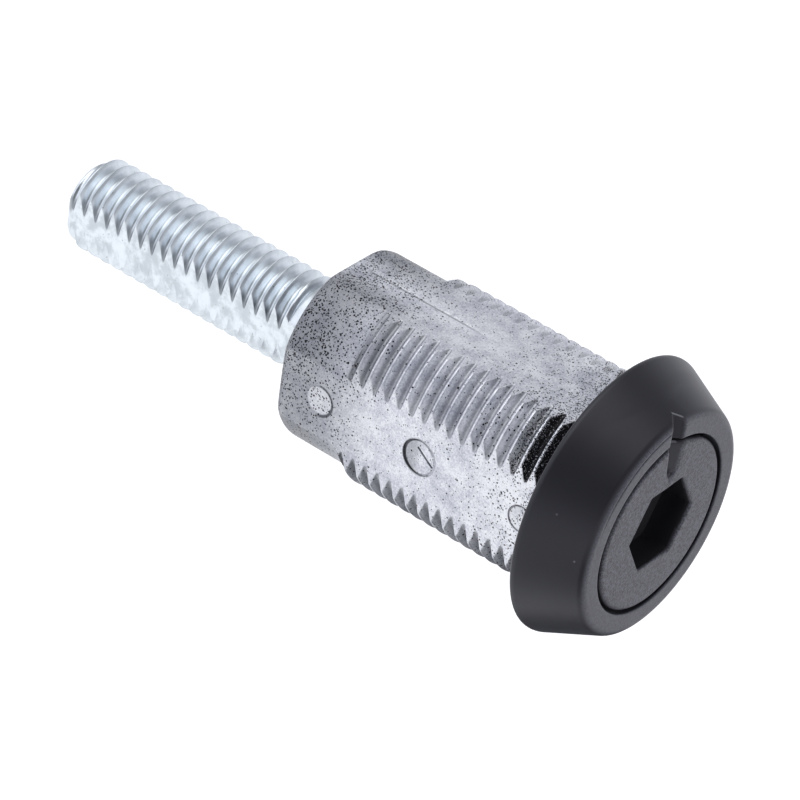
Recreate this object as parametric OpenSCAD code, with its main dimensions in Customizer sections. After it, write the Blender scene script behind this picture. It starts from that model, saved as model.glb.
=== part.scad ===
// Compression latch for a door or cover, turned by a hex key.
// The barrel goes through the panel from the front, and the threaded shaft carries the cam behind it.
// A half turn of the key first swings the shaft a quarter turn, then draws it in.
// The origin is the centre of the panel seat. +Y runs along the axis into the cabinet, and +Z is
// twelve o'clock.

/* [Bezel] */
// Largest diameter of the bezel
bezel_d = 28.9; // [27.5:0.1:32]
// Diameter of the bezel's front edge
bezel_front_d = 23.4; // [22.4:0.1:25]
// Height of the bezel in front of the panel
bezel_h = 6.5; // [5.8:0.1:8]
// Height of the rim below the cone
rim_h = 0.5; // [0.5:0.1:2]
// Rounding of the rim
rim_round = 0.3; // [0.1:0.1:0.3]
// Rounding of the front edge
front_round = 0.7; // [0.3:0.1:0.8]
// Width of the indicator notch
notch_w = 2.2; // [1.4:0.1:2.6]

/* [Barrel] */
// Major diameter of the barrel's thread
barrel_d = 22; // [21:0.1:24]
// Distance across the barrel's flats
barrel_flats = 18.7; // [18.2:0.1:20.4]
// Length of the threaded stretch
barrel_thread_l = 24.6; // [18:0.1:27]
// Pitch of the barrel's thread
barrel_pitch = 1.5; // [1:0.25:2]
// Diameter of the plain tail behind the thread
tail_d = 20.2; // [19:0.1:20.8]
// Length of the barrel behind the panel
barrel_l = 32.3; // [31:0.1:36]
// Rounding of the tail's rear edge
tail_round = 1; // [0.4:0.1:1.2]
// Diameter of the bore that the mechanism turns in
bore_d = 15.2; // [14.8:0.1:15.6]
// Thickness of the rear wall
rear_wall_t = 3; // [2.8:0.1:3.6]
// Diameter of the ejector marks beside the bezel and the tail
eject_d = 3; // [2:0.1:4]
// Diameter of the ejector mark half way along the barrel
eject_mid_d = 3.8; // [2:0.1:5]
// Depth of the ejector marks
eject_depth = 0.15; // [0.1:0.05:0.3]

/* [Driver] */
// Diameter of the driver's disc
disc_d = 18.3; // [17.4:0.1:18.7]
// Thickness of the driver's disc
disc_t = 3.2; // [2.6:0.1:3.6]
// Hex socket across its flats
hex_af = 8.3; // [6:0.1:8.6]
// Depth of the hex socket
hex_depth = 8.5; // [7:0.1:9.2]
// Thickness of the web between the socket and the spring
web_t = 1.6; // [1.2:0.1:2.2]
// Radius at which the driver's notch ends
notch_end_r = 5.9; // [5.6:0.1:6.6]

/* [Shaft] */
// Major diameter of the shaft's thread
shaft_d = 9.84; // [9.6:0.01:10]
// Pitch of the shaft's thread
shaft_pitch = 1.5; // [1:0.25:1.75]
// Distance across the shaft's flats
shaft_flats = 8; // [7.4:0.1:8.4]
// Diameter of the plain neck
neck_d = 9; // [8.8:0.1:9.2]
// Length of the shaft that stands out of the barrel
shaft_reach = 32.4; // [20:0.1:60]
// Length of plain neck that shows behind the barrel
neck_show = 3.5; // [3.4:0.1:6]
// Chamfer of the shaft's tip
tip_chamfer_w = 0.8; // [0.4:0.1:1.2]

/* [Motion] */
// Angle through which the shaft swings
swing = 90; // [60:5:90]
// Angle of the key while it draws the shaft in
wind = 90; // [70:5:90]
// Distance that the shaft is drawn in
pull_l = 6; // [4:0.1:6.4]
// Diameter of the cross pin
pin_d = 3; // [2.4:0.1:3.2]
// Angle that each stop lug takes up
lug_angle = 60; // [40:5:60]
// Height of the stop lugs
lug_h = 1.5; // [1:0.1:1.7]

/* [Springs and seal] */
// Wire of the return spring
spring_wire = 1; // [0.7:0.05:1.1]
// Turns of the return spring
spring_turns = 5; // [4:0.5:5]
// Wire of the snap ring
snap_wire = 1.2; // [0.8:0.1:1.3]
// Gap in the snap ring
snap_gap_angle = 36; // [20:2:60]
// Section of the seal ring before it is squeezed
seal_d = 1.8; // [1.6:0.1:1.9]

/* [Clearances] */
// Gap that shows around the driver's disc
disc_gap = 0.3; // [0.2:0.05:0.4]
// Radial clearance of a running fit
run_play = 0.06; // [0.03:0.01:0.09]
// Clearance between the cross pin and its slots
slot_play = 0.1; // [0.08:0.01:0.14]
// End clearance between pieces that turn on each other
end_play = 0.12; // [0.1:0.02:0.3]
// Clearance of a piece that is pressed in or lies in a groove
seat_play = 0.02; // [0.01:0.01:0.05]

/* [Hidden] */
$fn = 96;

paint_black = [0.13, 0.13, 0.14];
cast_zinc = [0.74, 0.76, 0.8];
plated_steel = [0.82, 0.84, 0.87];
spring_steel = [0.6, 0.61, 0.63];
black_rubber = [0.05, 0.05, 0.05];

// The arcs of rounded corners are drawn with this many chords
round_steps = 6;
// Cutters reach this far past the surface that they cut
over = 1;

// Section of a thread, as shares of its pitch
thread_depth_share = 0.567;
crest_share = 0.107;
flank_share = 0.347;
// The stretches of a thread between flats overlap by this angle where the flats cut them off
thread_lap_angle = 4;
// Number of flats on the barrel and on the shaft, and where the first stretch of each thread starts
barrel_sides = 4;
barrel_start_angle = -90;
shaft_sides = 2;
shaft_start_angle = -180;
// Places of a crest where the first stretch starts
barrel_crest_y = -0.4;
shaft_crest_y = 0.1;
// The barrel is plain for this far behind the seat
seat_land_l = 0.3;

// Bezel and barrel
front_y = -bezel_h;
bore_r = bore_d / 2;
wall_y = barrel_l - rear_wall_t;
thread_step = (barrel_d - tail_d) / 2;
mouth_chamfer_w = 0.2;
notch_depth = notch_w / 2;
notch_run_out = 0.6;
eject_front_y = 2.85;
eject_mid_y = 15;
eject_rear_inset = 5.2;

// Driver
disc_r = disc_d / 2;
disc_back_y = front_y + disc_t;
disc_round = 0.25;
stem_r = bore_r - run_play;
socket_y = front_y + hex_depth;
web_y = socket_y + web_t;
neck_r = neck_d / 2;
sleeve_bore_r = neck_r + run_play;
sleeve_land = 1.8;
pin_r = pin_d / 2;
slot_r = pin_r + slot_play;
slot_steps = 14;

// Seal ring and snap ring sit in grooves of the driver's stem, behind its disc
seal_squeeze = 0.8;
seal_spread = 1.25;
seal_inset = 3;
snap_inset = 4;
seal_groove_r = bore_r - seal_squeeze * seal_d;
seal_groove_w = seal_spread * seal_d;
seal_y = disc_back_y + seal_inset;
snap_y = web_y + snap_inset;
snap_groove_w = snap_wire + end_play;
snap_groove_r = bore_r - snap_wire - end_play;
snap_seat_r = bore_r + snap_wire / 2 + seat_play;

// Spring, cross pin and shaft follow each other behind the web
spring_slack = 0.5;
spring_side_gap = 0.4;
pin_land = 2.1;
spring_room = pull_l + (spring_turns + 1) * spring_wire + spring_slack;
spring_r = sleeve_bore_r - spring_wire / 2 - spring_side_gap;
shaft_in_y = web_y + spring_room;
pin_y = shaft_in_y + pin_r + pin_land;
pin_end_gap = 0.3;
pin_chamfer_w = 0.3;
sleeve_end_y = pin_y + slot_r + sleeve_land;
tip_y = barrel_l + shaft_reach;
thread_y = barrel_l + neck_show;
shaft_in_chamfer_w = 0.5;

// Guide bush between the driver's sleeve and the rear wall
bush_y = sleeve_end_y + end_play;
bush_end_y = wall_y - end_play;
flats_y = bush_y - end_play;
lug_in_wall = 0.7;
lug_out_wall = 0.3;
lug_in_r = shaft_d / 2 + lug_in_wall;
lug_out_r = bore_r - lug_out_wall;
stop_play_angle = 1;
lug_start_angle = -lug_angle / 2 - swing / 2;

// Lays what is drawn along Z along the latch's axis, with twelve o'clock at -Y of the drawing
module along_axis() {
    rotate([-90, 0, 0]) children();
}

module revolve(points) {
    rotate_extrude() polygon(points);
}

function unit(v) = v / norm(v);

// Points of the arc that rounds corner b, between points a and c
function corner_arc(a, b, c, r) =
    let (
        u = unit(a - b),
        v = unit(c - b),
        half = acos(u * v) / 2,
        centre = b + unit(u + v) * r / sin(half),
        from = b + u * r / tan(half) - centre,
        to = b + v * r / tan(half) - centre,
        start = atan2(from.y, from.x),
        raw = atan2(to.y, to.x) - start,
        sweep = raw > 180 ? raw - 360 : raw < -180 ? raw + 360 : raw
    )
    [for (i = [0:round_steps])
        centre + r * [cos(start + sweep * i / round_steps), sin(start + sweep * i / round_steps)]];

// An outline with its corners rounded: each entry is [radius, axial place, rounding]
function rounded(corners) =
    let (n = len(corners), p = [for (c = corners) [c.x, c.y]])
    [for (i = [0:n - 1])
        each corners[i].z > 0
            ? corner_arc(p[(i + n - 1) % n], p[i], p[(i + 1) % n], corners[i].z)
            : [p[i]]];

// A sector of a ring, drawn along Z, that starts at an angle and sweeps on clockwise,
// as seen from the front
module ring_sector(r_in, r_out, z0, z1, start, sweep) {
    rotate([0, 0, start])
        rotate_extrude(angle = sweep)
            translate([r_in, z0]) square([r_out - r_in, z1 - z0]);
}

// Outline of thread turns between two places on the axis, counted from a crest
function thread_outline(major_r, pitch, from_y, to_y, crest_y) =
    let (
        root_r = major_r - thread_depth_share * pitch,
        half_crest = crest_share * pitch / 2,
        half_foot = half_crest + flank_share * pitch,
        first = ceil((from_y + half_foot - crest_y) / pitch),
        last = floor((to_y - half_foot - crest_y) / pitch)
    )
    [for (k = [first:last])
        let (y = crest_y + k * pitch)
        each [
            [root_r, y - half_foot],
            [major_r, y - half_crest],
            [major_r, y + half_crest],
            [root_r, y + half_foot],
        ]];

// A thread with flats between its stretches. Each stretch has level turns, which stand further along
// the axis than those before it by its share of the pitch, so that together they climb as the thread does
module flatted_thread(major_r, pitch, from_y, to_y, crest_y, stretches, start) {
    root_r = major_r - thread_depth_share * pitch;
    sweep = 360 / stretches;
    for (i = [0:stretches - 1])
        rotate([0, 0, start + sweep * i - thread_lap_angle / 2])
            rotate_extrude(angle = sweep + thread_lap_angle)
                polygon(concat(
                    [[0, from_y], [root_r, from_y]],
                    thread_outline(major_r, pitch, from_y, to_y, crest_y + pitch * (i + 0.5) / stretches),
                    [[root_r, to_y], [0, to_y]]
                ));
}

// A V-groove in the front face at twelve o'clock, from one radius and depth to another
module v_groove(r_a, depth_a, r_b, depth_b) {
    rise = over;
    hull() {
        for (end = [[r_a, depth_a], [r_b, depth_b]])
            translate([0, -end[0], front_y - rise])
                rotate([0, 0, 45])
                    cylinder(h = end[1] + rise, r1 = (end[1] + rise) * sqrt(2), r2 = 0, $fn = 4);
    }
}

// The space between two flats that face left and right
module flats(across, y0, y1) {
    translate([-across / 2, -barrel_d, y0])
        cube([across, 2 * barrel_d, y1 - y0]);
}

// Bezel and barrel, cast as one piece

module bezel_form() {
    revolve(rounded([
        [0, front_y, 0],
        [bezel_front_d / 2, front_y, front_round],
        [bezel_d / 2, -rim_h, front_round],
        [bezel_d / 2, 0, rim_round],
        [0, 0, 0],
    ]));
}

module barrel_form() {
    intersection() {
        revolve(rounded([
            [0, -over, 0],
            [barrel_d / 2, -over, 0],
            [barrel_d / 2, barrel_thread_l - thread_step, 0],
            [tail_d / 2, barrel_thread_l, 0],
            [tail_d / 2, barrel_l, tail_round],
            [0, barrel_l, 0],
        ]));
        translate([-barrel_flats / 2, -barrel_flats / 2, -2 * over])
            cube([barrel_flats, barrel_flats, barrel_l + 4 * over]);
        union() {
            flatted_thread(barrel_d / 2, barrel_pitch, -2 * over, barrel_thread_l,
                barrel_crest_y, barrel_sides, barrel_start_angle);
            translate([0, 0, -2 * over])
                cylinder(h = seat_land_l + 2 * over, d = barrel_d + over);
            translate([0, 0, barrel_thread_l])
                cylinder(h = barrel_l - barrel_thread_l + over, d = barrel_d + over);
        }
    }
}

module barrel_bore() {
    mouth_r = disc_r + disc_gap;
    seat_y = disc_back_y + end_play;
    revolve([
        [0, front_y - over],
        [mouth_r + mouth_chamfer_w + over, front_y - over],
        [mouth_r, front_y + mouth_chamfer_w],
        [mouth_r, seat_y],
        [bore_r, seat_y],
        [bore_r, snap_y - snap_groove_w / 2],
        [snap_seat_r, snap_y - snap_groove_w / 2],
        [snap_seat_r, snap_y + snap_groove_w / 2],
        [bore_r, snap_y + snap_groove_w / 2],
        [bore_r, wall_y],
        [shaft_d / 2 + run_play, wall_y],
        [shaft_d / 2 + run_play, barrel_l + over],
        [0, barrel_l + over],
    ]);
}

// Pockets in the rear wall, in which the lugs of the guide bush swing between their stops
module stop_pockets() {
    for (side = [0, 180])
        ring_sector(lug_in_r - end_play, lug_out_r + end_play, wall_y - over, wall_y + lug_h,
            side + lug_start_angle - stop_play_angle, lug_angle + swing + 2 * stop_play_angle);
}

// Round ejector marks on the flat at nine o'clock
module ejector_marks() {
    marks = [
        [eject_front_y, eject_d],
        [eject_mid_y, eject_mid_d],
        [barrel_l - eject_rear_inset, eject_d],
    ];
    for (mark = marks)
        translate([-barrel_flats / 2, 0, mark[0]])
            rotate([0, 90, 0])
                cylinder(h = 2 * eject_depth, d = mark[1], center = true);
}

module housing() {
    color(cast_zinc)
        along_axis()
            difference() {
                union() {
                    bezel_form();
                    barrel_form();
                }
                barrel_bore();
                stop_pockets();
                ejector_marks();
                v_groove(disc_r - over, notch_depth, bezel_d / 2 + over, notch_depth);
            }
}

// Driver with its hex socket, and behind it the sleeve whose two slots climb round the axis

module driver_form() {
    revolve(rounded([
        [0, front_y, 0],
        [disc_r, front_y, disc_round],
        [disc_r, disc_back_y, 0],
        [stem_r, disc_back_y, 0],
        [stem_r, seal_y - seal_groove_w / 2, 0],
        [seal_groove_r, seal_y - seal_groove_w / 2, 0],
        [seal_groove_r, seal_y + seal_groove_w / 2, 0],
        [stem_r, seal_y + seal_groove_w / 2, 0],
        [stem_r, snap_y - snap_groove_w / 2, 0],
        [snap_groove_r, snap_y - snap_groove_w / 2, 0],
        [snap_groove_r, snap_y + snap_groove_w / 2, 0],
        [stem_r, snap_y + snap_groove_w / 2, 0],
        [stem_r, sleeve_end_y, 0],
        [sleeve_bore_r, sleeve_end_y, 0],
        [sleeve_bore_r, web_y, 0],
        [0, web_y, 0],
    ]));
}

module hex_socket() {
    translate([0, 0, front_y - over])
        cylinder(h = hex_depth + over, d = hex_af / cos(30), $fn = 6);
}

// The path of the cross pin through the sleeve while the key winds the shaft in
module cam_slots() {
    slot_in_r = sleeve_bore_r - over;
    for (side = [0, 180], i = [0:slot_steps])
        rotate([0, 0, side - wind * i / slot_steps])
            translate([slot_in_r, 0, pin_y - pull_l * i / slot_steps])
                rotate([0, 90, 0])
                    cylinder(h = stem_r + over - slot_in_r, r = slot_r);
}

module driver() {
    color(paint_black)
        along_axis()
            difference() {
                driver_form();
                hex_socket();
                cam_slots();
                v_groove(notch_end_r, notch_run_out, disc_r + over, notch_depth);
            }
}

// Rubber ring, squeezed flat between the groove's floor and the bore
module seal_ring() {
    middle_r = (seal_groove_r + bore_r) / 2;
    color(black_rubber)
        along_axis()
            intersection() {
                translate([0, 0, seal_y])
                    rotate_extrude() translate([middle_r, 0]) circle(d = seal_d);
                revolve([
                    [seal_groove_r + seat_play, seal_y - seal_d],
                    [bore_r - seat_play, seal_y - seal_d],
                    [bore_r - seat_play, seal_y + seal_d],
                    [seal_groove_r + seat_play, seal_y + seal_d],
                ]);
            }
}

// Open wire ring, sprung out into the barrel's groove, that keeps the driver in
module snap_ring() {
    color(spring_steel)
        along_axis()
            translate([0, 0, snap_y])
                rotate([0, 0, snap_gap_angle / 2])
                    rotate_extrude(angle = 360 - snap_gap_angle)
                        translate([bore_r, 0]) circle(d = snap_wire);
}

// Bush that turns with the shaft's flats, and stops the swing with its lugs
module guide_bush() {
    color(plated_steel)
        along_axis()
            difference() {
                union() {
                    translate([0, 0, bush_y])
                        cylinder(h = bush_end_y - bush_y, r = stem_r);
                    for (side = [0, 180])
                        ring_sector(lug_in_r, lug_out_r, bush_end_y - over, bush_end_y + lug_h,
                            side + lug_start_angle, lug_angle);
                }
                intersection() {
                    translate([0, 0, bush_y - over])
                        cylinder(h = bush_end_y - bush_y + 2 * over, r = sleeve_bore_r);
                    flats(shaft_flats + 2 * run_play, bush_y - 2 * over, bush_end_y + 2 * over);
                }
            }
}

module shaft_form() {
    intersection() {
        revolve([
            [0, shaft_in_y],
            [neck_r - shaft_in_chamfer_w, shaft_in_y],
            [neck_r, shaft_in_y + shaft_in_chamfer_w],
            [neck_r, thread_y],
            [shaft_d / 2, thread_y + (shaft_d - neck_d) / 2],
            [shaft_d / 2, tip_y - tip_chamfer_w],
            [shaft_d / 2 - tip_chamfer_w, tip_y],
            [0, tip_y],
        ]);
        union() {
            translate([0, 0, shaft_in_y - over])
                cylinder(h = thread_y + over - shaft_in_y, d = neck_d + over);
            flatted_thread(shaft_d / 2, shaft_pitch, thread_y - over, tip_y + over,
                shaft_crest_y, shaft_sides, shaft_start_angle);
        }
    }
}

// Shaft with a round inner end, a flatted neck and a flatted thread
module shaft() {
    color(plated_steel)
        along_axis()
            difference() {
                shaft_form();
                difference() {
                    translate([0, 0, flats_y])
                        cylinder(h = tip_y + over - flats_y, d = 2 * shaft_d);
                    flats(shaft_flats, flats_y - over, tip_y + 2 * over);
                }
                translate([0, 0, pin_y])
                    rotate([0, 90, 0])
                        cylinder(h = 2 * shaft_d, r = pin_r + seat_play, center = true);
            }
}

// Pin through the shaft, whose ends ride in the driver's slots
module cross_pin() {
    half_l = stem_r - pin_end_gap;
    color(spring_steel)
        along_axis()
            translate([0, 0, pin_y])
                rotate([0, 90, 0])
                    revolve([
                        [0, -half_l],
                        [pin_r - pin_chamfer_w, -half_l],
                        [pin_r, -half_l + pin_chamfer_w],
                        [pin_r, half_l - pin_chamfer_w],
                        [pin_r - pin_chamfer_w, half_l],
                        [0, half_l],
                    ]);
}

// Return spring: a wire swept along a helix with one closed turn at each end
spring_sides = 10;
spring_turn_steps = 20;
spring_start_y = web_y + spring_wire / 2 + seat_play;
spring_end_y = shaft_in_y - spring_wire / 2 - seat_play;
closed_rise = spring_wire + seat_play;

// Axial place of the wire after so many turns
function spring_rise(turn) = lookup(turn, [
    [0, spring_start_y],
    [1, spring_start_y + closed_rise],
    [spring_turns - 1, spring_end_y - closed_rise],
    [spring_turns, spring_end_y],
]);

function spring_ring(i) =
    let (turn = i / spring_turn_steps, angle = 360 * turn)
    [for (k = [0:spring_sides - 1])
        let (a = 360 * k / spring_sides, r = spring_r + spring_wire / 2 * cos(a))
        [r * cos(angle), r * sin(angle), spring_rise(turn) + spring_wire / 2 * sin(a)]];

module return_spring() {
    last = round(spring_turns * spring_turn_steps);
    n = spring_sides;
    points = [for (i = [0:last]) each spring_ring(i)];
    sides = [for (i = [0:last - 1], k = [0:n - 1])
        let (next = (k + 1) % n)
        [i * n + k, i * n + next, (i + 1) * n + next, (i + 1) * n + k]];
    start_cap = [[for (k = [n - 1:-1:0]) k]];
    end_cap = [[for (k = [0:n - 1]) last * n + k]];
    color(spring_steel)
        along_axis()
            polyhedron(points, concat(sides, start_cap, end_cap));
}

housing();
driver();
seal_ring();
snap_ring();
guide_bush();
shaft();
cross_pin();
return_spring();
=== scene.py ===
import math

import bmesh
import bpy
import numpy as np
from mathutils import Matrix, Vector

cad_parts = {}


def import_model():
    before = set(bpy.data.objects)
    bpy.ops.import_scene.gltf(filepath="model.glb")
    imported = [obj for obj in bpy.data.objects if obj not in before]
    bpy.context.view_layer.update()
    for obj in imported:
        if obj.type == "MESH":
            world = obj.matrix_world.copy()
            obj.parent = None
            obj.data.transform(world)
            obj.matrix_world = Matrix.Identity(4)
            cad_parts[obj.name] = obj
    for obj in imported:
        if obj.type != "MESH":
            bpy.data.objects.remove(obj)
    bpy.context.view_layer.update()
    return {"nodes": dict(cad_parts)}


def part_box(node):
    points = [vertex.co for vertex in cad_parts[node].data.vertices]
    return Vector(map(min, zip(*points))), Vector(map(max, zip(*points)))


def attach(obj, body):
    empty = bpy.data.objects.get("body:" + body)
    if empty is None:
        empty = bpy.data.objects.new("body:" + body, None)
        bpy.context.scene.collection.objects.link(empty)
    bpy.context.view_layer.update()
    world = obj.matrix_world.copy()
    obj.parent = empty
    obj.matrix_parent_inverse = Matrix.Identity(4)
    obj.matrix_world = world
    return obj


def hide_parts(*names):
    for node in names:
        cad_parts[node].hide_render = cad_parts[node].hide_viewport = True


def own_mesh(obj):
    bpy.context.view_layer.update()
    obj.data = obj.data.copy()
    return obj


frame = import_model()
nodes = frame["nodes"]

# Sizes are in mm, and angles in degrees from twelve o'clock (+Z) towards three o'clock (+X).
MM = 0.001
X, Y = 0, 1


def limits(node, axis):
    """Lowest and highest place of a CAD node along an axis, to a hundredth of a mm."""
    return [round(corner[axis] / MM, 2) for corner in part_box(node)]


# Thread form, the same on barrel and shaft
PITCH = 1.5
CREST_HALF = 0.08
FLANK_W = 0.52
CREST_SOFT = 0.02
ROOT_SOFT = 0.06
# A fine cast line runs beside each crest, at a distance from the crest's middle
CREST_LINE_AT = -0.14
CREST_LINE_DEPTH = 0.06
CREST_LINE_W = 0.045
# One turn is drawn by rows at these distances from a crest's middle
THREAD_ROWS = [-0.75, -0.62, -0.5, -0.36, -0.25, -0.19, -0.14, -0.08, 0, 0.09, 0.18, 0.34, 0.5, 0.62]
END_ROW_GAP = 0.05

# Bezel
FRONT_Y, BARREL_L = limits("housing", Y)
RIM_R = limits("housing", X)[1]
RIM_H = 0.5
RIM_ROUND = 0.3
CONE_ROUND = 0.7
RING_R = 11.7
FRONT_ROUND = 1.0
MOUTH_R = 9.45
MOUTH_ROUND = 0.16
MOUTH_ROW_Y = FRONT_Y + 1.5
SEAT_Y = -3.18

# Fine crease in the paint of the ring, left of the notch
CREASE_R = 10.98
CREASE_DEPTH = 0.1
CREASE_W = 0.075
CREASE_ANGLE = -30
CREASE_FADE = (18, 48)
CREASE_REACH = 0.16
CREASE_ROWS = (-0.1, -0.05, 0, 0.05)

# Indicator notch across ring and cone, with columns at these distances from its middle
NOTCH_HALF = 1.1
NOTCH_ROOT = 0.04
NOTCH_SOFT = 0.03
NOTCH_X = np.array([0, 0.1, 0.25, 0.4, 0.55, 0.7, 0.82, 0.94, 1.04, 1.14, 1.3, 1.6])
NOTCH_FADE_R = (12.7, 13.6)
NOTCH_CONE_SHARE = 0.3

# Barrel
THREAD_R = 11.0
ROOT_R = 10.15
CREST_Y = -0.4
SEAT_LAND = 0.3
LAND_SLOPE = 8
FLAT_D = 9.35
FLAT_SOFT = 0.045
THREAD_END = 24.6
RUN_OUT_SLOPE = 0.8
RUN_OUT_SOFT = 0.05
THREAD_SOFT = 0.03
# Where the thread starts to climb, climbs in full, fades and ends, and the angle where it turns back
BARREL_HELIX = (SEAT_LAND, 1.8, THREAD_END - 1.6, THREAD_END)
BARREL_CLOSED = 156
TAIL_R = 10.1
TAIL_ROUND = 1.0
TAIL_FLAT_SHARE = 0.6
TAIL_SOFT = (0.05, 0.15)
TAIL_ROWS = (24.75, 25.2, 26.2, 27.6, 29.2, 30.6)
SEAM_DEPTH = 0.07
SEAM_START = (12, 18)
SEAM_END = (29.5, 30.6)

# Inside of the barrel: the shaft's hole, the stop pockets, the bore and the snap ring's groove
HOLE_R = 4.98
HOLE_CHAMFER = 0.25
WALL_Y = 29.3
POCKET_R = (5.5, 7.42)
POCKET_DEPTH = 1.5
POCKET_ANGLE = 14.0
POCKET_STEP = 0.1
BORE_R = 7.6
SNAP_R = 8.22
SNAP_Y = (6.94, 8.26)

# Marks on the flat at nine o'clock, as places [y, z] and outlines [radius, depth]
REAR_MARK = (27.25, 0.1)
MIDDLE_MARK = (14.9, 0.28)
MIDDLE_CRESCENT = (MIDDLE_MARK[0] + 0.13, MIDDLE_MARK[1] - 0.02)
FRONT_MARK = (2.85, 0.0)
MIDDLE_MARK_R = 1.97
MIDDLE_CRESCENT_R = 1.93
FRONT_MARK_R = 1.5
MARK_DEPTH = 0.05
MARK_RING_DEPTH = 0.15
# Distances in from a mark's radius where its ring starts, is deep and ends, and out to the cutter's top
MARK_RING = (0.22, 0.15, 0.03)
MARK_FLARE = 0.06
MARK_LEAN = 0.055
CUTTER_CORE = 0.02
CUTTER_TOP = -0.5
REAR_DISH = [(CUTTER_CORE, 0.2), (0.75, 0.18), (1.2, 0.13), (1.45, 0.07), (1.6, -0.01)]
REAR_DISH_R = 1.66
MIDDLE_BAR = (14.34, 0.62)
BAR_SIZE = (0.6, 2.4, 0.26)
BAR_SLANT = 34.6

# Driver
DISC_R = limits("driver", X)[1]
DISC_ROUND = 0.55
DISC_CUT_Y = -3.4
DISC_ROW_Y = FRONT_Y + 1.7
HEX_D = 4.15
HEX_ROUND = (0.24, 0.6)
HEX_CORNER = (0.03, 0.06)
HEX_ROW_Y = FRONT_Y + 1.6
FACE_ROWS = 45

# Indicator notch of the driver: its half width along the radius, and two flaws [x, r, depth, spread]
DRIVER_NOTCH_R = (4.55, 5.0, 5.35, 5.7, 6.2, 9.5)
DRIVER_NOTCH_HALF = (-0.5, 0.06, 0.22, 0.52, 0.69, 1.08)
DRIVER_NOTCH_X = np.array([0, 0.1, 0.3, 0.5, 0.7, 0.85, 1.0, 1.15, 1.4, 1.8])
DRIVER_NOTCH_FADE_R = (4.7, 5.4)
DRIVER_NOTCH_MIN = 0.1
DRIVER_NOTCH_SPREAD = 0.4
DRIVER_NOTCH_SOFT = (0.035, 0.11)
DRIVER_NOTCH_NEAR = -0.6
FLAW_BLOB = (0.14, 5.75, -0.36, 0.03)
FLAW_PIT = (0.4, 5.65, 0.3, 0.025)

# Shaft
SHAFT_R = 4.92
SHAFT_ROOT_R = 4.07
SHAFT_FLAT = 4.0
SHAFT_SOFT = 0.03
SHAFT_CUT_Y = 30.0
SHAFT_CREST_Y = 0.1
SHAFT_THREAD_Y = 35.8
SHAFT_START_SLOPE = 0.6
TIP_Y = limits("shaft", Y)[1]
TIP_CHAMFER = 0.95
TIP_SOFT = 0.14
TIP_FLAT_CUT = 0.35
TIP_FLAT_L = 0.7
SHAFT_HELIX = (SHAFT_THREAD_Y, SHAFT_THREAD_Y + 1.8, TIP_Y - 1.8, TIP_Y)
SHAFT_CLOSED = 168
NECK_R = 4.5
NECK_Y = 32.0
NECK_ROWS = np.arange(32.6, SHAFT_THREAD_Y - 0.2, 0.12)
NECK_RINGS = (32.7, 34.3)
NECK_RING_DEPTH = 0.09
NECK_RING_W = 0.09

# Return spring
SPRING_Y = limits("return_spring", Y)
SPRING_WIRE = 0.5
SPRING_R = limits("return_spring", X)[1] - SPRING_WIRE
SPRING_PLAY = 0.02
SPRING_TURNS = 5

# Edges sharper than this stay sharp
SHARP_ANGLE = 38
SPRING_SHARP_ANGLE = 50


# Shapes

def soft_min(a, b, width):
    """The smaller of two values, with the corner between them rounded."""
    return -width * np.logaddexp(-np.asarray(a) / width, -np.asarray(b) / width)


def soft_max(a, b, width):
    """The larger of two values, with the corner between them rounded."""
    return width * np.logaddexp(np.asarray(a) / width, np.asarray(b) / width)


def ramp(x, a, b):
    """0 before a, 1 after b, and a smooth step between them."""
    t = np.clip((np.asarray(x, float) - a) / (b - a), 0, 1)
    return t * t * (3 - 2 * t)


def bell(off, width):
    """1 in the middle, falling smoothly to 0 on both sides."""
    return np.exp(-(off / width) ** 2)


def cos_d(angle):
    return np.cos(np.radians(angle))


def sin_d(angle):
    return np.sin(np.radians(angle))


def wrap(angle):
    """The same angle between -180 and 180."""
    return (np.asarray(angle) + 180) % 360 - 180


def between(start, end, share):
    """An angle on the short way from one angle to another."""
    return start + wrap(end - start) * share


def polar(r, angle, y):
    """Points at radius r and place y along the axis, as an array of columns."""
    r, angle, y = np.broadcast_arrays(r, angle, y)
    return np.stack([r * sin_d(angle), y, r * cos_d(angle)], -1)


def line(start, end, steps):
    """Points on the way from one point of an outline to another, without the first."""
    return [start + (end - start) * t for t in np.linspace(0, 1, steps + 1)[1:]]


def arc(corner, before, after, radius, steps):
    """Points of the arc that rounds a corner of an outline."""
    b, a, c = (np.array(p, float) for p in (corner, before, after))
    u = (a - b) / np.linalg.norm(a - b)
    v = (c - b) / np.linalg.norm(c - b)
    half = math.acos(np.clip(u @ v, -1, 1)) / 2
    bisector = (u + v) / np.linalg.norm(u + v)
    centre = b + bisector * radius / math.sin(half)
    start = b + u * radius / math.tan(half) - centre
    end = b + v * radius / math.tan(half) - centre
    turn = math.acos(np.clip(start @ end / radius ** 2, -1, 1))
    points = []
    for i in range(steps + 1):
        t = i / steps
        points.append(centre + (math.sin((1 - t) * turn) * start + math.sin(t * turn) * end) / math.sin(turn))
    return points


def ring_mesh(name, rows, loop):
    """A mesh through rows of points that close around the axis. Rows form a loop, or end in caps."""
    rows = np.asarray(rows)
    n, m, _ = rows.shape
    index = np.arange(n * m).reshape(n, m)
    here = index if loop else index[:-1]
    there = np.roll(index, -1, 0) if loop else index[1:]
    quads = np.stack([here, np.roll(here, -1, 1), np.roll(there, -1, 1), there], -1)
    faces = quads.reshape(-1, 4).tolist()
    if not loop:
        faces += [index[0].tolist(), index[-1].tolist()]
    mesh = bpy.data.meshes.new(name)
    mesh.from_pydata((rows.reshape(-1, 3) * MM).tolist(), [], faces)
    return mesh


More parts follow.
